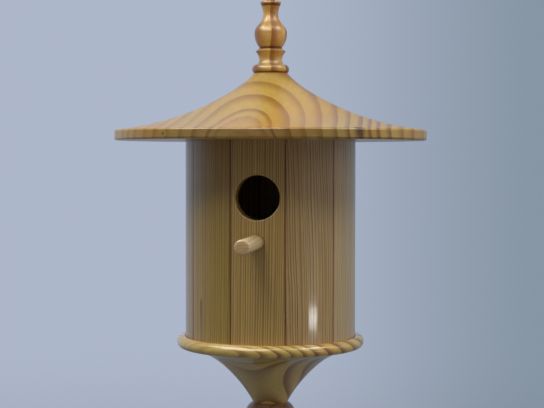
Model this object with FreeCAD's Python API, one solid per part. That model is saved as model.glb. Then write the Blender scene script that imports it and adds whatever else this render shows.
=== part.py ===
import FreeCAD, Part
import math
import os

# Turned hanging bird house, in millimetres. The origin is the middle of the screw eye's loop,
# +Z is up, and the entrance hole faces -Y.

# Screw eye
eye_diameter = 15.0
eye_wire = 3.0
eye_gap_angle = 22.0
eye_shank_length = 22.0
eye_point_length = 5.0

# Crown finial: diameters, and the height of each stretch from the top down
finial_top_diameter = 17.2
finial_lip_diameter = 18.4
finial_neck_diameter = 13.4
finial_bulb_diameter = 29.0
finial_groove_diameter = 19.6
finial_collar_diameter = 27.0
finial_cove_diameter = 20.6
finial_bead_diameter = 33.2
finial_lip_height = 1.7
finial_neck_height = 8.7
finial_bulb_height = 18.6
finial_groove_height = 12.4
finial_collar_height = 3.1
finial_cove_height = 12.2
finial_bead_height = 7.3

# Roof
roof_diameter = 279.0
roof_peak_diameter = 30.0
roof_rise = 51.1
roof_eave_thickness = 9.2
roof_eave_round = 2.0
roof_bell = ((0.05, 0.121), (0.145, 0.29), (0.30, 0.50), (0.53, 0.742), (0.775, 0.907))

# Stave body
body_diameter = 152.4
body_height = 176.1
stave_count = 10
stave_thickness = 16.8
stave_edge_round = 0.5

# Entrance and perch
entrance_diameter = 38.1
entrance_drop = 49.3
entrance_edge_round = 0.8
perch_diameter = 12.7
perch_drop = 37.3
perch_reach = 76.2
perch_socket_depth = 12.0
perch_chamfer = 1.3

# Tray: the bead stands out from the body, and a trumpet runs down to the neck
tray_bead_thickness = 10.8
tray_bead_overhang = 7.8
tray_recess_depth = 2.0
tray_trumpet_height = 49.9
tray_neck_diameter = 31.2
tray_trumpet = ((0.09, 0.24), (0.24, 0.463), (0.461, 0.668), (0.736, 0.862))

# Drop finial: diameters, and the height of each stretch from the neck down
drop_top_diameter = 31.2
drop_bulb_diameter = 46.0
drop_groove_diameter = 22.0
drop_collar_diameter = 30.0
drop_cove_diameter = 17.0
drop_tip_diameter = 23.0
drop_shoulder_height = 10.6
drop_bulb_height = 15.5
drop_collar_height = 3.2
drop_cove_height = 9.5
drop_tip_height = 9.8
drop_point_height = 19.0

# Joints between pieces
tenon_diameter = 12.7
tenon_length = 16.0
plug_thickness = 12.0
glue_gap = 0.1
slide_gap = 0.3

# Levels worked down from the screw eye
finial_top = -eye_diameter / 2
finial_lip = finial_top - finial_lip_height
finial_neck = finial_lip - finial_neck_height
finial_bulb = finial_neck - finial_bulb_height
finial_groove = finial_bulb - finial_groove_height
finial_collar = finial_groove - finial_collar_height
finial_shoulder = finial_collar - finial_cove_height
roof_top = finial_shoulder - finial_bead_height
eave_top = roof_top - roof_rise
body_top = eave_top - roof_eave_thickness
body_bottom = body_top - body_height
tray_seat = body_bottom - slide_gap
bead_top = tray_seat + tray_recess_depth
bead_middle = bead_top - tray_bead_thickness / 2
trumpet_top = bead_top - tray_bead_thickness
neck = trumpet_top - tray_trumpet_height
drop_bulb = neck - drop_shoulder_height
drop_groove = drop_bulb - drop_bulb_height
drop_collar = drop_groove - drop_collar_height
drop_cove = drop_collar - drop_cove_height
drop_tip = drop_cove - drop_tip_height
drop_end = drop_tip - drop_point_height

# Radii that several pieces share
body_radius = body_diameter / 2
inner_flat_radius = body_radius - stave_thickness
stave_angle = 360.0 / stave_count
entrance_level = body_top - entrance_drop
perch_level = entrance_level - perch_drop

vertical = FreeCAD.Vector(0, 0, 1)
outward = FreeCAD.Vector(0, -1, 0)


def point(radius, level):
    return FreeCAD.Vector(radius, 0, level)


def line(start, end):
    return Part.LineSegment(point(*start), point(*end)).toShape()


def arc(start, middle, end):
    return Part.Arc(point(*start), point(*middle), point(*end)).toShape()


def curve(*stops):
    spline = Part.BSplineCurve()
    spline.interpolate([point(*stop) for stop in stops])
    return spline.toShape()


def turn(edges):
    """Turn a closed outline of edges into a solid round the Z axis."""
    face = Part.Face(Part.Wire(edges))
    return face.revolve(FreeCAD.Vector(), vertical, 360)


def cylinder(radius, low, high):
    return Part.makeCylinder(radius, high - low, point(0, low), vertical)


def make_screw_eye():
    wire = eye_wire / 2
    bottom = point(0, wire - eye_diameter / 2)
    section = Part.Face(Part.Wire(Part.Circle(bottom, FreeCAD.Vector(1, 0, 0), wire).toShape()))
    loop = section.revolve(FreeCAD.Vector(), FreeCAD.Vector(0, 1, 0), 360 - eye_gap_angle)
    elbow = Part.makeSphere(wire, bottom)
    shank_end = finial_top - eye_shank_length
    shank = cylinder(wire, shank_end + eye_point_length, bottom.z)
    tip = Part.makeCone(wire / 4, wire, eye_point_length, point(0, shank_end), vertical)
    return loop.fuse([elbow, shank, tip]).removeSplitter()


def make_finial():
    top = (finial_top_diameter / 2, finial_top)
    lip = (finial_lip_diameter / 2, finial_lip)
    throat = (finial_neck_diameter / 2, finial_neck)
    bulb = (finial_bulb_diameter / 2, finial_bulb)
    groove = (finial_groove_diameter / 2, finial_groove)
    collar = (finial_collar_diameter / 2, finial_collar)
    cove = (finial_cove_diameter / 2, finial_collar - finial_cove_height * 0.55)
    shoulder = (finial_bead_diameter / 2 - 2.6, finial_shoulder)
    bead = (finial_bead_diameter / 2, finial_shoulder - finial_bead_height * 0.45)
    foot = (finial_bead_diameter / 2 - 1.7, roof_top)
    waist = (throat[0] + 0.24 * (bulb[0] - throat[0]), finial_neck - finial_bulb_height * 0.38)
    crown = (throat[0] + 0.78 * (bulb[0] - throat[0]), finial_neck - finial_bulb_height * 0.67)
    under_lip = (throat[0] + 0.45 * (lip[0] - throat[0]), finial_lip - finial_neck_height * 0.40)
    belly = (groove[0] + 0.85 * (bulb[0] - groove[0]), finial_bulb - finial_groove_height * 0.42)
    hollow = (cove[0] + 0.50 * (collar[0] - cove[0]), finial_collar - finial_cove_height * 0.20)
    flare = (cove[0] + 0.25 * (shoulder[0] - cove[0]), finial_collar - finial_cove_height * 0.87)
    edges = [
        line((0, finial_top), top),
        arc(top, ((top[0] + lip[0]) / 2 + 0.25, (finial_top + finial_lip) / 2 + 0.25), lip),
        curve(lip, under_lip, throat, waist, crown, bulb),
        curve(bulb, belly, groove),
        line(groove, collar),
        curve(collar, hollow, cove, flare, shoulder),
        arc(shoulder, bead, foot),
        line(foot, (0, roof_top)),
        line((0, roof_top), (0, finial_top)),
    ]
    tenon = cylinder(tenon_diameter / 2, roof_top - tenon_length, roof_top)
    pilot = cylinder(eye_wire / 2 + glue_gap, finial_top - eye_shank_length, finial_top)
    return turn(edges).fuse(tenon).cut(pilot).removeSplitter()


def make_roof():
    peak = (roof_peak_diameter / 2, roof_top)
    edge = (roof_diameter / 2 - roof_eave_round, eave_top)
    run = edge[0] - peak[0]
    bell = [(peak[0] + run * out, roof_top - roof_rise * down) for out, down in roof_bell]
    outer = roof_diameter / 2
    ease = roof_eave_round * (1 - math.sqrt(0.5))
    edges = [
        line((0, roof_top), peak),
        curve(peak, *bell, edge),
        arc(edge, (outer - ease, eave_top - ease), (outer, eave_top - roof_eave_round)),
        line((outer, eave_top - roof_eave_round), (outer, body_top + roof_eave_round)),
        arc((outer, body_top + roof_eave_round), (outer - ease, body_top + ease),
            (outer - roof_eave_round, body_top)),
        line((outer - roof_eave_round, body_top), (0, body_top)),
        line((0, body_top), (0, roof_top)),
    ]
    socket = cylinder(tenon_diameter / 2 + glue_gap, roof_top - tenon_length, roof_top)
    return turn(edges).cut(socket)


def make_roof_plug():
    return cylinder(inner_flat_radius - glue_gap, body_top - plug_thickness, body_top)


def make_stave(number):
    """One stave: flat inside, turned round outside, mitred to its neighbours, long edges eased."""
    half = math.radians(stave_angle / 2)
    blank_reach = body_radius * 1.2
    corners = [(-inner_flat_radius, 1), (-blank_reach, 1), (-blank_reach, -1), (-inner_flat_radius, -1)]
    outline = [FreeCAD.Vector(side * y * math.tan(half), y, body_bottom) for y, side in corners]
    blank = Part.Face(Part.makePolygon(outline + outline[:1])).extrude(vertical * body_height)
    stave = blank.common(cylinder(body_radius, body_bottom, body_top))
    long_edges = [
        edge for edge in stave.Edges
        if edge.BoundBox.ZLength > body_height / 2
        and all(math.hypot(v.X, v.Y) > body_radius - stave_edge_round for v in edge.Vertexes)
    ]
    stave = stave.makeFillet(stave_edge_round, long_edges)
    stave.rotate(FreeCAD.Vector(), vertical, stave_angle * number)
    return stave.cut(make_entrance_cutter())


def make_entrance_cutter():
    """The entrance bore, from inside the body out through the front, with an eased outer edge."""
    bore_radius = entrance_diameter / 2
    start = FreeCAD.Vector(0, -inner_flat_radius / 2, entrance_level)
    return Part.makeCylinder(bore_radius, body_radius, start, outward)


def ease_entrance(stave):
    """Round the edge where the entrance comes out through the turned face."""
    bore_radius = entrance_diameter / 2
    rim = [
        edge for edge in stave.Edges
        if edge.BoundBox.YMax < -inner_flat_radius - entrance_edge_round
        and abs(edge.BoundBox.XLength - 2 * bore_radius) < bore_radius / 100
        and abs(edge.BoundBox.ZLength - 2 * bore_radius) < bore_radius / 100
    ]
    return stave.makeFillet(entrance_edge_round, rim)


def make_front_stave():
    socket_start = FreeCAD.Vector(0, -body_radius + perch_socket_depth, perch_level)
    socket = Part.makeCylinder(perch_diameter / 2 + glue_gap, body_radius, socket_start, outward)
    return ease_entrance(make_stave(0)).cut(socket)


def make_perch():
    start = FreeCAD.Vector(0, -body_radius + perch_socket_depth, perch_level)
    length = perch_socket_depth + perch_reach
    dowel = Part.makeCylinder(perch_diameter / 2, length, start, outward)
    ends = [edge for edge in dowel.Edges if edge.BoundBox.YMax < -body_radius]
    return dowel.makeChamfer(perch_chamfer, ends)


def make_tray():
    bead_radius = tray_bead_thickness / 2
    bead_centre = body_radius + tray_bead_overhang - bead_radius
    recess = body_radius + slide_gap
    rise = math.sqrt(bead_radius ** 2 - (bead_centre - recess) ** 2)
    recess_edge = (recess, bead_middle + rise)
    bead_foot = (bead_centre, trumpet_top)
    mouth = (bead_centre - bead_radius / 2, trumpet_top)
    run = mouth[0] - tray_neck_diameter / 2
    flare = [(mouth[0] - run * down_in, trumpet_top - tray_trumpet_height * down)
             for down, down_in in tray_trumpet]
    edges = [
        line((0, tray_seat), (recess, tray_seat)),
        line((recess, tray_seat), recess_edge),
        arc(recess_edge, (bead_centre + bead_radius, bead_middle), bead_foot),
        line(bead_foot, mouth),
        curve(mouth, *flare, (tray_neck_diameter / 2, neck)),
        line((tray_neck_diameter / 2, neck), (0, neck)),
        line((0, neck), (0, tray_seat)),
    ]
    socket = cylinder(tenon_diameter / 2 + glue_gap, neck, neck + tenon_length)
    return turn(edges).cut(socket)


def make_base_plug():
    return cylinder(inner_flat_radius - slide_gap, tray_seat, tray_seat + plug_thickness)


def make_drop_finial():
    top = (drop_top_diameter / 2, neck)
    bulb = (drop_bulb_diameter / 2, drop_bulb)
    groove = (drop_groove_diameter / 2, drop_groove)
    collar = (drop_collar_diameter / 2, drop_collar)
    cove = (drop_cove_diameter / 2, drop_cove)
    tip = (drop_tip_diameter / 2, drop_tip)
    shoulder = (top[0] + 0.47 * (bulb[0] - top[0]), neck - drop_shoulder_height * 0.257)
    belly = (groove[0] + 0.80 * (bulb[0] - groove[0]), drop_bulb - drop_bulb_height * 0.52)
    hollow = (cove[0] + 0.32 * (collar[0] - cove[0]), drop_collar - drop_cove_height * 0.38)
    swell = (cove[0] + 0.55 * (tip[0] - cove[0]), drop_cove - drop_tip_height * 0.45)
    taper = (tip[0] * 0.62, drop_tip - drop_point_height * 0.62)
    edges = [
        line((0, neck), top),
        arc(top, shoulder, bulb),
        curve(bulb, belly, groove),
        line(groove, collar),
        curve(collar, hollow, cove, swell, tip, taper, (0, drop_end)),
        line((0, drop_end), (0, neck)),
    ]
    tenon = cylinder(tenon_diameter / 2, neck, neck + tenon_length)
    return turn(edges).fuse(tenon).removeSplitter()


pieces = {
    "screw_eye": make_screw_eye(),
    "finial": make_finial(),
    "roof": make_roof(),
    "roof_plug": make_roof_plug(),
    "front_stave": make_front_stave(),
    "perch": make_perch(),
    "tray": make_tray(),
    "base_plug": make_base_plug(),
    "drop_finial": make_drop_finial(),
}
for number in range(1, stave_count):
    pieces[f"stave_{number + 1:02d}"] = make_stave(number)

os.makedirs("parts", exist_ok=True)
for name, shape in pieces.items():
    shape.exportStep(f"parts/{name}.step")
    print(name, "solids", len(shape.Solids), "valid", shape.isValid(), "volume", round(shape.Volume))
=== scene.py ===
import math
import bpy
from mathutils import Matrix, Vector


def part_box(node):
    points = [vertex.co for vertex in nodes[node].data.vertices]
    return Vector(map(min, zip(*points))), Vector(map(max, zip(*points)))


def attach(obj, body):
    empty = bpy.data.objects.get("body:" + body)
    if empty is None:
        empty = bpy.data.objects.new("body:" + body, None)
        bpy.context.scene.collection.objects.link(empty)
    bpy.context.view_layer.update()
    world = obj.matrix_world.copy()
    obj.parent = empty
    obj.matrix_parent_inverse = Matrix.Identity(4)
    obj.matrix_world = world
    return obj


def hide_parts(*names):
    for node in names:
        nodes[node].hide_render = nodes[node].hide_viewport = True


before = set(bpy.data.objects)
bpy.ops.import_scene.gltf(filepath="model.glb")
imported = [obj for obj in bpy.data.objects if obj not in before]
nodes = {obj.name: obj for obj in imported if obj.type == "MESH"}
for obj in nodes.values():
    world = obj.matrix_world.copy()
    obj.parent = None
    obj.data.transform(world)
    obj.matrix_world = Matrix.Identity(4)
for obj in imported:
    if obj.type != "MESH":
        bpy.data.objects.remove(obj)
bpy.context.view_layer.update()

print("frame loaded:", len(nodes), "pieces")


cameraSetup = {
    "heading": 8.53,        # degrees round from straight in front of the entrance
    "distance": 1.229,      # from the turning axis
    "height": -0.1478,      # below the middle of the screw eye
    "sideStep": 0.00132,
    "tiltDown": 1.91,
    "roll": -0.07,
    "lens": 90.46,
}


def placeCamera(setup):
    turn = math.radians(setup["heading"])
    away = Vector((math.sin(turn), -math.cos(turn), 0)) * setup["distance"]
    aside = Vector((math.cos(turn), math.sin(turn), 0)) * setup["sideStep"]
    spot = away + aside + Vector((0, 0, setup["height"]))
    tilt = (math.radians(90 - setup["tiltDown"]), math.radians(setup["roll"]), turn)
    bpy.ops.object.camera_add(location=spot, rotation=tilt)
    camera = bpy.context.object
    camera.name = "camera"
    camera.data.lens = setup["lens"]
    camera.data.sensor_width = 36
    camera.data.clip_start = 0.05
    camera.data.clip_end = 30
    camera.data.dof.use_dof = False
    bpy.context.scene.camera = camera


placeCamera(cameraSetup)
print("camera placed")


def addNode(tree, kind, inputs=None, **settings):
    node = tree.nodes.new(kind)
    for key, value in settings.items():
        setattr(node, key, value)
    for socket, value in (inputs or {}).items():
        if isinstance(value, bpy.types.NodeSocket):
            tree.links.new(value, node.inputs[socket])
        else:
            node.inputs[socket].default_value = value
    return node


def doMath(tree, operation, first, second=0.0, third=0.0, clamp=False):
    inputs = {0: first, 1: second, 2: third}
    node = addNode(tree, "ShaderNodeMath", inputs, operation=operation, use_clamp=clamp)
    return node.outputs[0]


def mapValue(tree, value, low, high, toLow=0.0, toHigh=1.0, smooth=False):
    inputs = {"Value": value, "From Min": low, "From Max": high, "To Min": toLow, "To Max": toHigh}
    shape = "SMOOTHSTEP" if smooth else "LINEAR"
    return addNode(tree, "ShaderNodeMapRange", inputs, interpolation_type=shape).outputs[0]


def mixColour(tree, factor, first, second, blend="MIX"):
    inputs = {0: factor, 6: first, 7: second}
    return addNode(tree, "ShaderNodeMix", inputs, data_type="RGBA", blend_type=blend).outputs[2]


def tinted(tree, factor, wood, tint):
    return mixColour(tree, factor, wood, tint, "MULTIPLY")


def partOf(tree, vector, axis):
    return addNode(tree, "ShaderNodeSeparateXYZ", {0: vector}).outputs[axis]


def measured(tree, vector, other=(0, 0, 0)):
    return addNode(tree, "ShaderNodeVectorMath", {0: vector, 1: other}, operation="DISTANCE").outputs["Value"]


def stretched(tree, vector, scale):
    return addNode(tree, "ShaderNodeVectorMath", {0: vector, 1: scale}, operation="MULTIPLY").outputs[0]


def noise(tree, vector, detail=2.0, roughness=0.5, scale=1.0):
    inputs = {"Vector": vector, "Scale": scale, "Detail": detail, "Roughness": roughness}
    return addNode(tree, "ShaderNodeTexNoise", inputs, noise_dimensions="3D").outputs["Fac"]


def newMaterial(name):
    material = bpy.data.materials.new(name)
    material.use_nodes = True
    tree = material.node_tree
    tree.nodes.clear()
    output = tree.nodes.new("ShaderNodeOutputMaterial")
    shader = tree.nodes.new("ShaderNodeBsdfPrincipled")
    tree.links.new(shader.outputs[0], output.inputs[0])
    return material, tree, shader


def colour(red, green, blue):
    return (red, green, blue, 1.0)


staveAngle = 36           # degrees, ten staves
# What all the pine has in common. Lengths are millimetres, colours linear.
pineDefaults = {
    "pith": (0, 0, 0),            # a point on the heart line the growth rings go round
    "along": (0, 0, 1),           # and the way that line runs
    "rings": [12.0],              # radii where the dark wood of each year ends, or one spacing
    "ringTurn": 0.0,
    "wander": 1.6,                # how far the rings stray from round
    "wanderSize": 45.0,
    "spacingDrift": 0.0,          # how far good and bad years crowd the rings
    "early": colour(0.66, 0.430, 0.120),
    "late": colour(0.300, 0.130, 0.030),
    "lateStrength": 0.70,
    "lateStart": 0.40,
    "yearSpread": 0.5,            # how much one year differs from the next
    "across": [(-150, 1.0), (150, 1.0)],      # ring strength from left to right
    "warm": colour(1.06, 0.88, 0.70),
    "warmLow": 0.40,
    "warmHigh": 0.75,
    "fibre": 0.14,
    "fibrePitch": 0.8,
    "streak": 0.14,
    "streakPitch": 4.5,
    "canals": 0.20,
    "bump": 0.05,
    "roughness": 0.36,
    "coat": 0.55,
    "coatRoughness": 0.13,
    "shade": 1.0,
    "seamTurn": None,             # a stave's middle, in degrees round the body
    "knot": None,                 # middle and size of a pin knot
    "heartFade": None,            # weak rings next to the heart: from this radius, to that, how weak
    "endGrain": colour(0.56, 0.59, 0.90),     # end grain drinks the varnish and goes darker
    "paintedShadeRing": None,            # painted shade round the axis: full here, gone there, above this level
    "pitchLine": None,            # a bleeding resin pocket: x, y, lowest, highest, half width
    "paintedShadeLevels": [],            # painted shade in grooves and under lips: height and half width
}


woodDetail = {
    "lateEnd": 0.94,              # where in a year its dark wood is at its darkest
    "lateEdge": 0.05,             # and how soon the next year is pale again
    "lateBend": 1.6,
    "endBend": 2.5,               # how squarely the grain must end at a face to look like end grain
    "canalScale": (1.9, 1.9, 0.09),
    "canalFrom": 0.66,
    "canalTo": 0.76,
    "toneScale": (0.02, 0.02, 0.006),
    "fibreGloss": 0.16,
    "lateGloss": -0.06,
    "fibreHeight": 0.6,
    "lateHeight": 0.7,
    "canalHeight": -0.8,
    "bumpDepth": 0.001,
    "varnishIor": 1.5,
}
# colours for real marks (pitch, glue in the seams, knots) and for painted shade (round an axis, in grooves)
stainAndShadeTones = {
    "ringShade": colour(0.42, 0.26, 0.16),
    "pitch": colour(0.30, 0.17, 0.12),
    "groove": colour(0.36, 0.18, 0.10),
    "seam": colour(0.54, 0.36, 0.27),
    "knot": colour(0.085, 0.030, 0.012),
}


def ringNumber(tree, radius, rings):
    if len(rings) == 1:
        return doMath(tree, "DIVIDE", radius, rings[0])
    # a curve through the listed radii, one ring further at each, and closer ones past the last
    spare = 4
    reach = rings[-1] + spare * (rings[-1] - rings[-2])
    count = len(rings) + spare + 1
    along = doMath(tree, "DIVIDE", radius, reach, clamp=True)
    node = addNode(tree, "ShaderNodeFloatCurve", {"Value": along})
    curve = node.mapping.curves[0]
    curve.points[0].location = (0, 0)
    curve.points[1].location = (1, 1)
    for number, edge in enumerate(rings):
        curve.points.new(edge / reach, (number + 1) / count)
    for point in curve.points:
        point.handle_type = "AUTO"
    node.mapping.update()
    return doMath(tree, "MULTIPLY", node.outputs[0], count)


def ringStrengthAcross(tree, place, stops):
    low, high = stops[0][0], stops[-1][0]
    side = mapValue(tree, partOf(tree, place, "X"), low / 1000, high / 1000)
    node = addNode(tree, "ShaderNodeFloatCurve", {"Value": side})
    curve = node.mapping.curves[0]
    top = 2.0        # a curve only reaches from 0 to 1
    curve.points[0].location = (0, stops[0][1] / top)
    curve.points[1].location = (1, stops[-1][1] / top)
    for spot, strength in stops[1:-1]:
        curve.points.new((spot - low) / (high - low), strength / top)
    node.mapping.update()
    return doMath(tree, "MULTIPLY", node.outputs[0], top)


def cleanFromSeam(tree, place, middle):
    # glue and dirt sit in the eased groove between two staves
    turned = addNode(tree, "ShaderNodeMapping", {"Vector": place}, vector_type="TEXTURE")
    turned.inputs["Rotation"].default_value = (0, 0, math.radians(middle))
    side = doMath(tree, "ABSOLUTE", partOf(tree, turned.outputs[0], "X"))
    reach = doMath(tree, "ABSOLUTE", partOf(tree, turned.outputs[0], "Y"))
    half = math.radians(staveAngle / 2)
    gap = doMath(tree, "MULTIPLY_ADD", side, -math.cos(half), doMath(tree, "MULTIPLY", reach, math.sin(half)))
    rough = noise(tree, stretched(tree, place, (1, 1, 0.2)), 2.0, 0.6, 400.0)
    gap = doMath(tree, "MULTIPLY_ADD", rough, -0.0005, gap)
    return mapValue(tree, gap, 0.0002, 0.0011, smooth=True)


def knotDistance(tree, place, knot):
    away = measured(tree, place, [value / 1000 for value in knot[:3]])
    wobble = noise(tree, place, 2.0, 0.5, 260.0)
    reach = doMath(tree, "MULTIPLY", away, 1000 / knot[3])
    return doMath(tree, "ADD", reach, doMath(tree, "MULTIPLY_ADD", wobble, 0.8, -0.4))


def paintedRingShade(tree, place, ring):
    # painted shade: darker close round the axis, fading outward, above a level; used for the corner where the
    # tray meets the body and for the perch's root under the roof
    near, far, lowest = ring
    reach = measured(tree, stretched(tree, place, (1000, 1000, 0)))
    darkening = mapValue(tree, reach, near, far, 1.0, 0.0, smooth=True)
    above = mapValue(tree, partOf(tree, place, "Z"), (lowest - 1) / 1000, lowest / 1000)
    return doMath(tree, "MULTIPLY", darkening, above)


def pitchDirt(tree, place, pocket):
    x, y, low, high, half = pocket
    away = measured(tree, stretched(tree, place, (1000, 1000, 0)), (x, y, 0))
    darkening = mapValue(tree, away, half * 0.3, half, 1.0, 0.0, smooth=True)
    height = partOf(tree, place, "Z")
    top = mapValue(tree, height, high / 1000, (high + 5) / 1000, 1.0, 0.0)
    run = mapValue(tree, height, low / 1000, high / 1000, 0.3, 1.0)
    return doMath(tree, "MULTIPLY", doMath(tree, "MULTIPLY", darkening, top), run)


def paintedGrooveShade(tree, place, middle, half):
    # painted shade: darker at one height, fading either side; used in the finial's grooves and under its lips
    away = doMath(tree, "MULTIPLY_ADD", partOf(tree, place, "Z"), 1000, -middle)
    return mapValue(tree, doMath(tree, "ABSOLUTE", away), half * 0.2, half, 1.0, 0.0, smooth=True)


def lateWood(tree, place, grain, setup, knot):
    # years: distance from the heart, with a slow wander
    radius = measured(tree, stretched(tree, grain, (1, 1, 0)))
    slow = noise(tree, stretched(tree, grain, (1, 1, 0.28)), 2.0, 0.45, 1 / setup["wanderSize"])
    stray = doMath(tree, "MULTIPLY_ADD", slow, 2 * setup["wander"], -setup["wander"])
    radius = doMath(tree, "ADD", radius, stray)
    if setup["spacingDrift"]:
        drift = addNode(tree, "ShaderNodeTexNoise", {"W": radius, "Scale": 0.16, "Detail": 1.0},
                        noise_dimensions="1D").outputs["Fac"]
        radius = doMath(tree, "MULTIPLY_ADD", drift, setup["spacingDrift"], radius)
    if setup["knot"]:
        swerve = mapValue(tree, knot, 0.6, 3.2, 1.0, 0.0, smooth=True)     # the years bend round a knot
        radius = doMath(tree, "MULTIPLY_ADD", swerve, 1.6 * setup["knot"][3], radius)
    years = doMath(tree, "ADD", ringNumber(tree, radius, setup["rings"]), setup["ringTurn"])
    phase = doMath(tree, "FRACT", years)
    year = doMath(tree, "FLOOR", years)

    # no two years are as dark
    strength = addNode(tree, "ShaderNodeTexWhiteNoise", {"W": year}, noise_dimensions="1D").outputs["Value"]
    spread = setup["yearSpread"]
    strength = mapValue(tree, strength, 0, 1, 1 - spread, 1 + spread * 0.5)
    strength = doMath(tree, "MULTIPLY", strength, ringStrengthAcross(tree, place, setup["across"]))
    if setup["heartFade"]:
        near, far, weak = setup["heartFade"]
        strength = doMath(tree, "MULTIPLY", strength, mapValue(tree, radius, near, far, weak, 1.0))
    rise = mapValue(tree, phase, setup["lateStart"], woodDetail["lateEnd"], smooth=True)
    fall = mapValue(tree, phase, 0.0, woodDetail["lateEdge"], 1.0, 0.0)
    dark = doMath(tree, "MAXIMUM", rise, fall)
    dark = doMath(tree, "POWER", dark, woodDetail["lateBend"])
    dark = doMath(tree, "MULTIPLY", dark, strength)
    return doMath(tree, "MULTIPLY", dark, setup["lateStrength"], clamp=True)


def markedAndShadedWood(tree, place, wood, setup, knot):
    # real marks and painted shade laid over the wood
    if setup["paintedShadeRing"]:
        wood = tinted(tree, paintedRingShade(tree, place, setup["paintedShadeRing"]), wood, stainAndShadeTones["ringShade"])
    if setup["pitchLine"]:
        wood = tinted(tree, pitchDirt(tree, place, setup["pitchLine"]), wood, stainAndShadeTones["pitch"])
    for middle, half in setup["paintedShadeLevels"]:
        wood = tinted(tree, paintedGrooveShade(tree, place, middle, half), wood, stainAndShadeTones["groove"])
    if setup["knot"]:
        core = mapValue(tree, knot, 0.55, 1.25, 0.85, 0.0, smooth=True)
        wood = mixColour(tree, core, wood, stainAndShadeTones["knot"])
    if setup["seamTurn"] is not None:
        clean = cleanFromSeam(tree, place, setup["seamTurn"])
        wood = mixColour(tree, clean, tinted(tree, 1.0, wood, stainAndShadeTones["seam"]), wood)
    return wood


def pineMaterial(name, **changes):
    setup = dict(pineDefaults)
    setup.update(changes)
    material, tree, shader = newMaterial(name)
    place = addNode(tree, "ShaderNodeTexCoord").outputs["Object"]
    log = addNode(tree, "ShaderNodeMapping", {"Vector": place}, vector_type="TEXTURE")
    log.inputs["Location"].default_value = [value / 1000 for value in setup["pith"]]
    log.inputs["Rotation"].default_value = Vector(setup["along"]).to_track_quat("Z", "Y").to_euler()
    log.inputs["Scale"].default_value = (0.001, 0.001, 0.001)     # millimetres from here on
    grain = log.outputs[0]
    knot = knotDistance(tree, place, setup["knot"]) if setup["knot"] else None
    dark = lateWood(tree, place, grain, setup, knot)

    # fibres and resin canals run with the grain
    across = 1 / setup["fibrePitch"]
    fine = noise(tree, stretched(tree, grain, (across, across, 0.02 * across)), 3.0, 0.65)
    wide = 1 / setup["streakPitch"]
    streak = noise(tree, stretched(tree, grain, (wide, wide, 0.02 * wide)), 2.0, 0.5)
    canal = noise(tree, stretched(tree, grain, woodDetail["canalScale"]), 1.0, 0.4)
    canal = mapValue(tree, canal, woodDetail["canalFrom"], woodDetail["canalTo"])

    tone = noise(tree, stretched(tree, grain, woodDetail["toneScale"]), 2.0, 0.5)
    tone = mapValue(tree, tone, setup["warmLow"], setup["warmHigh"], smooth=True)
    wood = mixColour(tree, dark, setup["early"], setup["late"])
    wood = tinted(tree, tone, wood, setup["warm"])
    lift = doMath(tree, "ADD", doMath(tree, "MULTIPLY_ADD", fine, 2 * setup["fibre"], 1 - setup["fibre"]),
                  doMath(tree, "MULTIPLY_ADD", streak, 2 * setup["streak"], -setup["streak"]))
    lift = doMath(tree, "MULTIPLY", lift, setup["shade"])
    lift = doMath(tree, "MULTIPLY", lift, doMath(tree, "MULTIPLY_ADD", canal, -setup["canals"], 1.0))
    grey = addNode(tree, "ShaderNodeCombineColor", {0: lift, 1: lift, 2: lift}).outputs[0]
    wood = tinted(tree, 1.0, wood, grey)
    facing = addNode(tree, "ShaderNodeTexCoord").outputs["Normal"]
    facing = addNode(tree, "ShaderNodeVectorMath", {0: facing, 1: Vector(setup["along"]).normalized()},
                     operation="DOT_PRODUCT").outputs["Value"]
    endOn = doMath(tree, "POWER", doMath(tree, "ABSOLUTE", facing), woodDetail["endBend"])
    wood = tinted(tree, endOn, wood, setup["endGrain"])
    wood = markedAndShadedWood(tree, place, wood, setup, knot)
    tree.links.new(wood, shader.inputs["Base Color"])

    # varnish over the wood
    spread = woodDetail["fibreGloss"]
    gloss = doMath(tree, "MULTIPLY_ADD", fine, spread, setup["roughness"] - spread / 2)
    gloss = doMath(tree, "MULTIPLY_ADD", dark, woodDetail["lateGloss"], gloss)
    tree.links.new(gloss, shader.inputs["Roughness"])
    height = doMath(tree, "MULTIPLY", dark, woodDetail["lateHeight"])
    height = doMath(tree, "MULTIPLY_ADD", fine, woodDetail["fibreHeight"], height)
    height = doMath(tree, "MULTIPLY_ADD", canal, woodDetail["canalHeight"], height)
    bump = {"Height": height, "Strength": setup["bump"], "Distance": woodDetail["bumpDepth"]}
    tree.links.new(addNode(tree, "ShaderNodeBump", bump).outputs[0], shader.inputs["Normal"])
    shader.inputs["IOR"].default_value = woodDetail["varnishIor"]
    shader.inputs["Coat Weight"].default_value = setup["coat"]
    shader.inputs["Coat Roughness"].default_value = setup["coatRoughness"]
    shader.inputs["Coat IOR"].default_value = woodDetail["varnishIor"]
    return material


brass = {
    "bright": colour(0.60, 0.37, 0.11),
    "dull": colour(0.26, 0.14, 0.045),
    "roughness": 0.20,
    "wornRoughness": 0.22,        # added where it is dull
    "drawnRoughness": 0.12,       # added along the drawing marks
}


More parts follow.
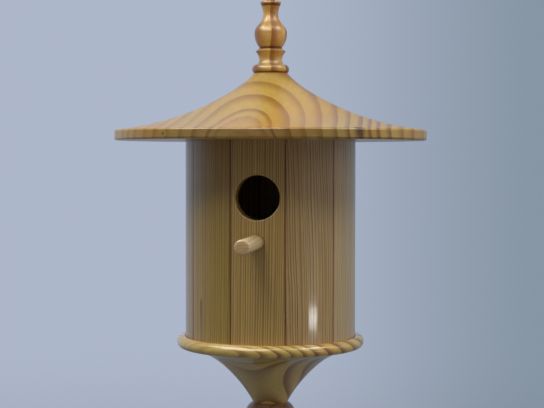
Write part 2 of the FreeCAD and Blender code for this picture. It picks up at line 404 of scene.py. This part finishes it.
def brassMaterial(name, setup):
    material, tree, shader = newMaterial(name)
    place = addNode(tree, "ShaderNodeTexCoord").outputs["Object"]
    drawn = noise(tree, place, 4.0, 0.6, 900.0)
    worn = noise(tree, place, 3.0, 0.6, 160.0)
    worn = mapValue(tree, worn, 0.42, 0.66, smooth=True)
    metal = mixColour(tree, worn, setup["bright"], setup["dull"])
    tree.links.new(metal, shader.inputs["Base Color"])
    gloss = doMath(tree, "MULTIPLY_ADD", worn, setup["wornRoughness"], setup["roughness"])
    gloss = doMath(tree, "MULTIPLY_ADD", drawn, setup["drawnRoughness"], gloss)
    tree.links.new(gloss, shader.inputs["Roughness"])
    bump = addNode(tree, "ShaderNodeBump", {"Height": drawn, "Strength": 0.15, "Distance": 0.0004})
    tree.links.new(bump.outputs[0], shader.inputs["Normal"])
    shader.inputs["Metallic"].default_value = 1.0
    return material


def dress(name, material):
    node = nodes[name]
    node.data.materials.clear()
    node.data.materials.append(material)


def startPiece():
    if bpy.context.object and bpy.context.object.mode != "OBJECT":
        bpy.ops.object.mode_set(mode="OBJECT")
    bpy.ops.object.select_all(action="DESELECT")


def selectFaces(piece, test):
    # faces are picked by the given test, here by which way they face
    bpy.ops.object.mode_set(mode="OBJECT")
    for face in piece.data.polygons:
        face.select = bool(test(face))
    for edge in piece.data.edges:
        edge.select = False
    for vertex in piece.data.vertices:
        vertex.select = False
    bpy.ops.object.mode_set(mode="EDIT")
    bpy.ops.mesh.select_mode(type="FACE")


def finishPiece(piece, name, body, stands, material, angle=35):
    bpy.ops.object.mode_set(mode="OBJECT")
    bpy.ops.object.select_all(action="DESELECT")
    piece.select_set(True)
    bpy.context.view_layer.objects.active = piece
    bpy.ops.object.transform_apply(location=True, rotation=True, scale=True)
    bpy.ops.object.shade_smooth_by_angle(angle=math.radians(angle))
    piece.name = name
    piece.data.name = name
    piece.data.materials.clear()
    piece.data.materials.append(material)
    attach(piece, body)
    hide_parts(stands)
    piece.select_set(False)


perch = {
    "radius": 0.00635,
    "sides": 64,
    "rounding": [(0.00035, 0.985), (0.00040, 0.94), (0.00030, 0.85), (0.00015, 0.62)],   # step, then draw in
    "gluedEdge": 0.0006,
    "wood": {
        "pith": (3.0, -110.0, -232.0),
        "along": (0.03, 1.0, 0.02),
        "rings": [2.4],
        "wander": 0.5,
        "early": colour(0.95, 0.73, 0.40),
        "late": colour(0.62, 0.36, 0.17),
        "lateStrength": 0.5,
        "endGrain": colour(0.74, 0.66, 0.56),
        "coat": 0.5,
        "coatRoughness": 0.3,
        # painted shade: the perch darker near the body, where its root lies in the roof's shadow
        "paintedShadeRing": (74.0, 98.0, -300.0),
    },
}


def makePerch(setup):
    low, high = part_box("perch")
    middle = ((low[0] + high[0]) / 2, 0, (low[2] + high[2]) / 2)
    tip = low[1] + sum(step for step, draw in setup["rounding"])
    length = high[1] - tip
    startPiece()
    bpy.ops.mesh.primitive_cylinder_add(vertices=setup["sides"], radius=setup["radius"], depth=length,
                                        location=(middle[0], tip + length / 2, middle[2]),
                                        rotation=(math.radians(90), 0, 0))
    piece = bpy.context.object
    bpy.ops.object.transform_apply(location=True, rotation=True, scale=True)
    selectFaces(piece, lambda face: face.normal.y < -0.9)
    for step, draw in setup["rounding"]:       # the tip is rounded over by sanding
        bpy.ops.mesh.extrude_region_move(TRANSFORM_OT_translate={"value": (0, -step, 0)})
        bpy.ops.transform.resize(value=(draw, 1, draw), center_override=(middle[0], tip, middle[2]))
        tip -= step
    selectFaces(piece, lambda face: face.normal.y > 0.9)
    bpy.ops.mesh.inset(thickness=setup["gluedEdge"])
    wood = pineMaterial("perchPine", **setup["wood"])
    finishPiece(piece, "perchPeg", "house", "perch", wood, 40)


screwEye = {
    "loopRadius": 0.0060,       # middle of the wire
    "wire": 0.0015,
    "sides": 28,                # round the wire
    "turn": 338,                # degrees of loop, the rest is its gap
    "turnSteps": 84,
    "plain": 0.0035,            # smooth part of the shank under the loop
    "collar": 0.0004,           # step from the thread's core out to the full wire
    "threadPitch": 0.0014,
    "threadDepth": 0.00028,
    "threadHalf": 0.30,         # half its width at the root, as a share of the pitch
    "threadCrest": 0.00006,     # half its width at the crest
    "threadSunk": 0.0001,       # how far its root sits inside the core
    "threadBlank": 0.0005,      # the plane that it starts from, across
    "point": 0.0045,
    "taper": [(0.45, 0.62), (0.35, 0.42), (0.20, 0.25)],    # shares of the point, then draw in
    "weld": 0.000002,
}


def bendLoop(setup, wire, bottom):
    startPiece()
    bpy.ops.mesh.primitive_circle_add(vertices=setup["sides"], radius=wire, fill_type="NGON",
                                      location=(0, 0, bottom), rotation=(0, math.radians(90), 0))
    loop = bpy.context.object
    bpy.ops.object.transform_apply(location=True, rotation=True, scale=True)
    bpy.ops.object.mode_set(mode="EDIT")
    bpy.ops.mesh.select_all(action="SELECT")
    bpy.ops.mesh.spin(steps=setup["turnSteps"], angle=math.radians(setup["turn"]), center=(0, 0, 0),
                      axis=(0, 1, 0))
    bpy.ops.mesh.select_all(action="SELECT")
    bpy.ops.mesh.remove_doubles(threshold=setup["weld"])
    bpy.ops.mesh.normals_make_consistent(inside=False)
    bpy.ops.object.mode_set(mode="OBJECT")
    return loop


def turnShank(setup, wire, core, bottom, threadTop, pointTop):
    startPiece()
    bpy.ops.mesh.primitive_cylinder_add(vertices=setup["sides"], radius=core, depth=threadTop - pointTop,
                                        location=(0, 0, (threadTop + pointTop) / 2))
    shank = bpy.context.object
    bpy.ops.object.transform_apply(location=True, rotation=True, scale=True)
    collar = setup["collar"]
    grow = wire / core
    selectFaces(shank, lambda face: face.normal.z > 0.9)
    bpy.ops.mesh.extrude_region_move(TRANSFORM_OT_translate={"value": (0, 0, collar)})
    bpy.ops.transform.resize(value=(grow, grow, 1), center_override=(0, 0, threadTop))
    bpy.ops.mesh.extrude_region_move(TRANSFORM_OT_translate={"value": (0, 0, bottom - threadTop - collar)})
    selectFaces(shank, lambda face: face.normal.z < -0.9)
    for step, draw in setup["taper"]:
        bpy.ops.mesh.extrude_region_move(TRANSFORM_OT_translate={"value": (0, 0, -setup["point"] * step)})
        bpy.ops.transform.resize(value=(draw, draw, 1), center_override=(0, 0, 0))
    bpy.ops.object.mode_set(mode="OBJECT")
    return shank


def windThread(setup, wire, core, threadTop, pointTop):
    # a wedge of thread, narrow at its crest, wound up the core by a screw
    pitch = setup["threadPitch"]
    half = pitch * setup["threadHalf"]
    middle = pointTop + half
    crest = setup["threadCrest"]
    startPiece()
    bpy.ops.mesh.primitive_plane_add(size=1, location=(core, 0, middle), rotation=(math.radians(90), 0, 0))
    thread = bpy.context.object
    bpy.ops.transform.resize(value=(setup["threadBlank"], 1, 2 * half))
    bpy.ops.object.transform_apply(location=True, rotation=True, scale=True)
    bpy.ops.object.mode_set(mode="EDIT")
    bpy.ops.mesh.select_all(action="SELECT")
    bpy.ops.mesh.delete(type="ONLY_FACE")
    bpy.ops.object.mode_set(mode="OBJECT")
    for vertex in thread.data.vertices:
        outer = vertex.co.x > core
        vertex.co.x = wire if outer else core - setup["threadSunk"]
        if outer:
            vertex.co.z = middle + (crest if vertex.co.z > middle else -crest)
    wind = thread.modifiers.new("wind", "SCREW")
    wind.axis = "Z"
    wind.angle = math.radians(360)
    wind.screw_offset = pitch
    wind.iterations = int((threadTop - pointTop) / pitch)
    wind.steps = setup["sides"]
    wind.render_steps = setup["sides"]
    wind.use_merge_vertices = True
    bpy.ops.object.modifier_apply(modifier="wind")
    bpy.ops.object.mode_set(mode="EDIT")
    bpy.ops.mesh.select_all(action="SELECT")
    bpy.ops.mesh.remove_doubles(threshold=setup["weld"])
    bpy.ops.mesh.select_all(action="DESELECT")
    bpy.ops.mesh.select_mode(type="EDGE")
    bpy.ops.mesh.select_non_manifold()
    bpy.ops.mesh.edge_face_add()
    bpy.ops.mesh.select_all(action="SELECT")
    bpy.ops.mesh.normals_make_consistent(inside=False)
    bpy.ops.object.mode_set(mode="OBJECT")
    return thread


def makeScrewEye(setup):
    low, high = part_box("screw_eye")
    wire = setup["wire"]
    bottom = -setup["loopRadius"]
    core = wire - setup["threadDepth"]
    threadTop = bottom - wire - setup["plain"]
    pointTop = low[2] + setup["point"]
    loop = bendLoop(setup, wire, bottom)
    shank = turnShank(setup, wire, core, bottom, threadTop, pointTop)
    thread = windThread(setup, wire, core, threadTop, pointTop)
    for other in (thread, loop):
        join = shank.modifiers.new("join", "BOOLEAN")
        join.operation = "UNION"
        join.solver = "EXACT"
        join.object = other
        startPiece()
        shank.select_set(True)
        bpy.context.view_layer.objects.active = shank
        bpy.ops.object.modifier_apply(modifier="join")
        bpy.data.objects.remove(other)
    metal = brassMaterial("screwEyeBrass", brass)
    finishPiece(shank, "screwEyeWire", "house", "screw_eye", metal)


roofWood = {
    "pith": (-10.4, -1.6, -132.8),
    "along": (-0.050, 0.997, 0.052),
    "rings": [14.5, 24.5, 30.4, 42.5, 53.7, 66.0, 77.5, 87.0, 97.0, 104.0, 111.0, 120.0, 130.0],
    "wander": 0.9,
    "heartFade": (18.0, 28.0, 0.25),
    "lateStart": 0.30,
    "lateStrength": 0.88,
    "yearSpread": 0.2,
    "across": [(-140, 0.6), (-95, 0.6), (-40, 0.8), (0, 1.0), (60, 0.85), (78, 1.0), (88, 2.0), (100, 1.8),
               (112, 1.5), (125, 1.0), (140, 0.7)],
    "early": colour(0.69, 0.440, 0.076),
    "late": colour(0.430, 0.175, 0.010),
    "coat": 0.45,
    "coatRoughness": 0.28,
    "pitchLine": (89.5, -106.9, -136.0, -121.5, 7.5),
    "knot": (-71.0, -119.8, -127.4, 1.5),
}
finialWood = {
    "pith": (62.0, 14.0, -40.0),
    "along": (0.02, 0.02, 1.0),
    "rings": [14.0],
    "wander": 0.6,
    "ringTurn": 0.34,
    "early": colour(0.78, 0.500, 0.120),
    "late": colour(0.330, 0.096, 0.024),
    "lateStart": 0.06,
    "lateStrength": 0.95,
    "yearSpread": 0.2,
    "bump": 0.02,
    "coatRoughness": 0.20,
    # painted shade: the groove below the bulb, where the finial sits on the roof, and under the top lip
    "paintedShadeLevels": [(-49.2, 1.6), (-71.4, 2.2), (-10.6, 1.8)],
}
trayWood = {
    "pith": (5.0, 70.3, -267.9),
    "along": (0.742, -0.490, 0.458),
    "rings": [14.0, 28.0, 41.0, 54.0, 68.0, 81.0, 92.5, 103.3, 113.3, 122.5, 129.8, 135.5, 140.8, 145.7,
              150.8],
    "wander": 0.8,
    "lateStart": 0.25,
    "lateStrength": 0.85,
    "yearSpread": 0.3,
    "across": [(-90, 0.3), (-55, 0.3), (-25, 0.45), (-5, 0.9), (30, 1.25), (90, 1.1)],
    "early": colour(0.84, 0.590, 0.145),
    "late": colour(0.360, 0.160, 0.042),
    # painted shade in the corner where the tray meets the body
    "paintedShadeRing": (76.6, 77.9, -309.7),
    "endGrain": colour(1.0, 1.0, 0.95),
    "coat": 0.85,
    "coatRoughness": 0.14,
}
dropWood = {"pith": (-46.0, 22.0, -400.0), "along": (0.03, -0.02, 1.0), "rings": [7.0],
            "early": colour(0.42, 0.19, 0.055)}
plugWood = {"pith": (40.0, 30.0, -140.0), "along": (1.0, 0.1, 0.02), "rings": [5.0], "coat": 0.0,
            "roughness": 0.7, "shade": 0.85}

dress("roof", pineMaterial("roofPine", **roofWood))
dress("finial", pineMaterial("finialPine", **finialWood))
dress("tray", pineMaterial("trayPine", **trayWood))
dress("drop_finial", pineMaterial("dropPine", **dropWood))
makePerch(perch)
dress("roof_plug", pineMaterial("roofPlugPine", **plugWood))
dress("base_plug", pineMaterial("basePlugPine", **plugWood))
makeScrewEye(screwEye)
print("perch and screw eye modelled")

staveDefaults = {
    "wander": 1.0,
    "wanderSize": 30.0,
    "spacingDrift": 3.0,
    "yearSpread": 0.35,
    "lateStrength": 0.80,
    "lateStart": 0.15,
    "coatRoughness": 0.075,
    "fibre": 0.28,
    "fibrePitch": 0.7,
    "streak": 0.26,
    "streakPitch": 2.6,
    "early": colour(0.64, 0.425, 0.124),
    "late": colour(0.240, 0.108, 0.028),
    "warmLow": 0.45,
    "warmHigh": 0.8,
}
staveMiddle = 72.0        # a little inside the staves' faces
staveLevel = -220.0       # half way down them
# in order round the body: the heart lies so far to one side of each stave, and so far inward
staveLooks = {
    "front_stave": {"aside": -62, "inward": 10, "rings": [2.15], "lean": (0.012, 0.0)},
    "stave_02": {"aside": -95, "inward": -30, "rings": [2.3], "lean": (-0.02, 0.03), "wander": 2.2,
                 "early": colour(0.60, 0.405, 0.155), "late": colour(0.250, 0.108, 0.042)},
    "stave_03": {"aside": 88, "inward": 20, "rings": [2.7], "lean": (0.0, 0.01), "lateStrength": 0.55,
                 "early": colour(0.66, 0.48, 0.23)},
    "stave_04": {"aside": 70, "inward": -20, "rings": [2.2], "lean": (0.01, -0.01)},
    "stave_05": {"aside": -14, "inward": 52, "rings": [3.4], "lean": (0.02, 0.05), "wander": 2.0,
                 "early": colour(0.55, 0.39, 0.15)},
    "stave_06": {"aside": 64, "inward": 8, "rings": [2.0], "lean": (-0.01, 0.01)},
    "stave_07": {"aside": -80, "inward": 26, "rings": [2.5], "lean": (0.015, 0.0),
                 "early": colour(0.54, 0.40, 0.18)},
    "stave_08": {"aside": 22, "inward": 60, "rings": [3.0], "lean": (-0.03, 0.04), "wander": 2.2},
    "stave_09": {"aside": 75, "inward": 12, "rings": [2.2], "lean": (0.0, 0.015),
                 "early": colour(0.46, 0.335, 0.125)},
    # its colour is partly the stave's own darker tone and partly painted shade, darkened for the roof's
    # shadow on the left of the body
    "stave_10": {"aside": 66, "inward": -6, "rings": [2.3], "lean": (0.008, 0.0),
                 "early": colour(0.49, 0.330, 0.072), "late": colour(0.190, 0.086, 0.016),
                 "lateStrength": 0.55, "pitchLine": (-52.4, -55.3, -300.0, -273.0, 1.5)},
}
for name, look in staveLooks.items():
    look = dict(staveDefaults, **look)
    middle = 0 if name == "front_stave" else staveAngle * (int(name[-2:]) - 1)
    turnBy = math.radians(middle)
    outward = Vector((math.sin(turnBy), -math.cos(turnBy), 0))
    side = Vector((math.cos(turnBy), math.sin(turnBy), 0))
    pith = outward * (staveMiddle - look.pop("inward")) + side * look.pop("aside")
    lean = look.pop("lean")
    along = side * lean[0] + outward * lean[1] + Vector((0, 0, 1))
    dress(name, pineMaterial(name + "Pine", pith=(pith.x, pith.y, staveLevel), along=tuple(along),
                             seamTurn=middle, **look))
print("wood and brass made:", len(bpy.data.materials))


stageSetup = {
    "sides": 96,
    "profile": [(3.2, -2.6), (3.9, -2.5), (4.35, -2.1), (4.5, -1.5), (4.5, 0.5), (4.5, 3.0)],
    "tone": colour(0.12, 0.13, 0.15),
    "leftTone": colour(0.395, 0.445, 0.560),
    "rightTone": colour(0.215, 0.275, 0.340),
    "nearTone": colour(0.085, 0.090, 0.100),       # the half of the room behind the camera
    "floorTone": colour(0.120, 0.128, 0.140),
    "leftToRight": (-0.8, 0.55),
    "nearToFar": (-2.5, 1.5),
    "floorToWall": (-2.3, -0.9),
}


def makeStage(setup):
    startPiece()
    radius, level = setup["profile"][0]
    bpy.ops.mesh.primitive_circle_add(vertices=setup["sides"], radius=radius, fill_type="NGON",
                                      location=(0, 0, level))
    stage = bpy.context.object
    stage.name = "floorAndBackdrop"
    bpy.ops.object.transform_apply(location=True, rotation=True, scale=True)
    bpy.ops.object.mode_set(mode="EDIT")
    bpy.ops.mesh.select_all(action="SELECT")
    for nextRadius, nextLevel in setup["profile"][1:]:
        lift = (0, 0, nextLevel - level)
        bpy.ops.mesh.extrude_region_move(TRANSFORM_OT_translate={"value": lift})
        grow = nextRadius / radius
        bpy.ops.transform.resize(value=(grow, grow, 1), center_override=(0, 0, nextLevel))
        radius, level = nextRadius, nextLevel
    bpy.ops.mesh.delete(type="ONLY_FACE")
    bpy.ops.object.mode_set(mode="OBJECT")
    bpy.ops.object.shade_smooth()

    # its own soft light, from left to right and darker near the camera and at the floor
    material, tree, shader = newMaterial("paleBackdrop")
    place = addNode(tree, "ShaderNodeTexCoord").outputs["Object"]
    blends = [("X", setup["leftToRight"]), ("Y", setup["nearToFar"]), ("Z", setup["floorToWall"])]
    side, depth, level = [mapValue(tree, partOf(tree, place, axis), *ends, smooth=True)
                          for axis, ends in blends]
    paint = mixColour(tree, side, setup["leftTone"], setup["rightTone"])
    paint = mixColour(tree, depth, setup["nearTone"], paint)
    paint = mixColour(tree, level, setup["floorTone"], paint)
    tree.links.new(paint, shader.inputs["Emission Color"])
    shader.inputs["Emission Strength"].default_value = 1.0
    shader.inputs["Base Color"].default_value = setup["tone"]
    shader.inputs["Roughness"].default_value = 0.9
    shader.inputs["Specular IOR Level"].default_value = 0.0
    stage.data.materials.append(material)
    stage.visible_diffuse = False         # the wood is lit by the lamps and the sky alone


warmWhite = (1.0, 0.98, 0.95)
lampSetup = [
    # name, azimuth from the camera side, elevation, distance, width, height, watts, colour
    ("leftLamp", -85, 50, 2.2, 1.2, 0.9, 17, warmWhite),
    ("keyLamp", -17, 38, 2.2, 0.60, 0.45, 7.8, warmWhite),
    ("rightLamp", 74, 47, 2.2, 1.0, 0.8, 11, warmWhite),
    ("frontRightLamp", 42, 45, 2.2, 1.2, 0.8, 1.6, warmWhite),
    ("frontRightFill", 50, 20, 2.2, 0.8, 0.8, 2.0, warmWhite),
    ("frontLeftFill", -60, 15, 2.2, 0.8, 0.8, 0.8, warmWhite),
    ("topLamp", 20, 70, 2.2, 0.8, 0.8, 4.5, warmWhite),
    ("sideFill", 95, 15, 2.2, 0.8, 0.8, 2.3, (1.0, 0.99, 0.98)),
    ("backLamp", 180, 50, 2.2, 1.6, 1.0, 3, warmWhite),
    ("lowStrip", 58, -8.6, 2.3, 0.50, 0.035, 1.6, (1.0, 0.98, 0.98)),
    ("windowGlow", -38, 46, 2.2, 2.2, 1.5, 50, (1.0, 0.99, 0.97)),
    ("rightWindowGlow", 64, 46, 2.2, 1.4, 1.4, 13, (1.0, 0.99, 0.97)),
]
glowOnly = ["windowGlow", "rightWindowGlow"]        # seen in the varnish, but throw no light on the wood
lightOnly = ["keyLamp"]                             # and the other way about
lampAim = Vector((0, 0, -0.2))
sky = {"tint": (0.95, 0.98, 1.06, 1.0), "strength": 0.12}


def addLamp(name, azimuth, elevation, distance, width, height, watts, tint):
    swing = math.radians(azimuth + cameraSetup["heading"])
    rise = math.radians(elevation)
    away = Vector((math.sin(swing) * math.cos(rise), -math.cos(swing) * math.cos(rise), math.sin(rise)))
    bpy.ops.object.light_add(type="AREA", location=lampAim + away * distance,
                             rotation=away.to_track_quat("Z", "Y").to_euler())
    lamp = bpy.context.object
    lamp.name = name
    lamp.data.shape = "RECTANGLE"
    lamp.data.size = width
    lamp.data.size_y = height
    lamp.data.energy = watts
    lamp.data.color = tint
    lamp.visible_camera = False
    lamp.visible_diffuse = name not in glowOnly
    lamp.visible_glossy = name not in lightOnly


makeStage(stageSetup)
for lamp in lampSetup:
    addLamp(*lamp)
world = bpy.data.worlds.new("softSky")
bpy.context.scene.world = world
world.use_nodes = True
background = world.node_tree.nodes["Background"]
background.inputs["Color"].default_value = sky["tint"]
background.inputs["Strength"].default_value = sky["strength"]
bpy.context.scene.view_settings.view_transform = "Standard"
print("stage and lamps set")
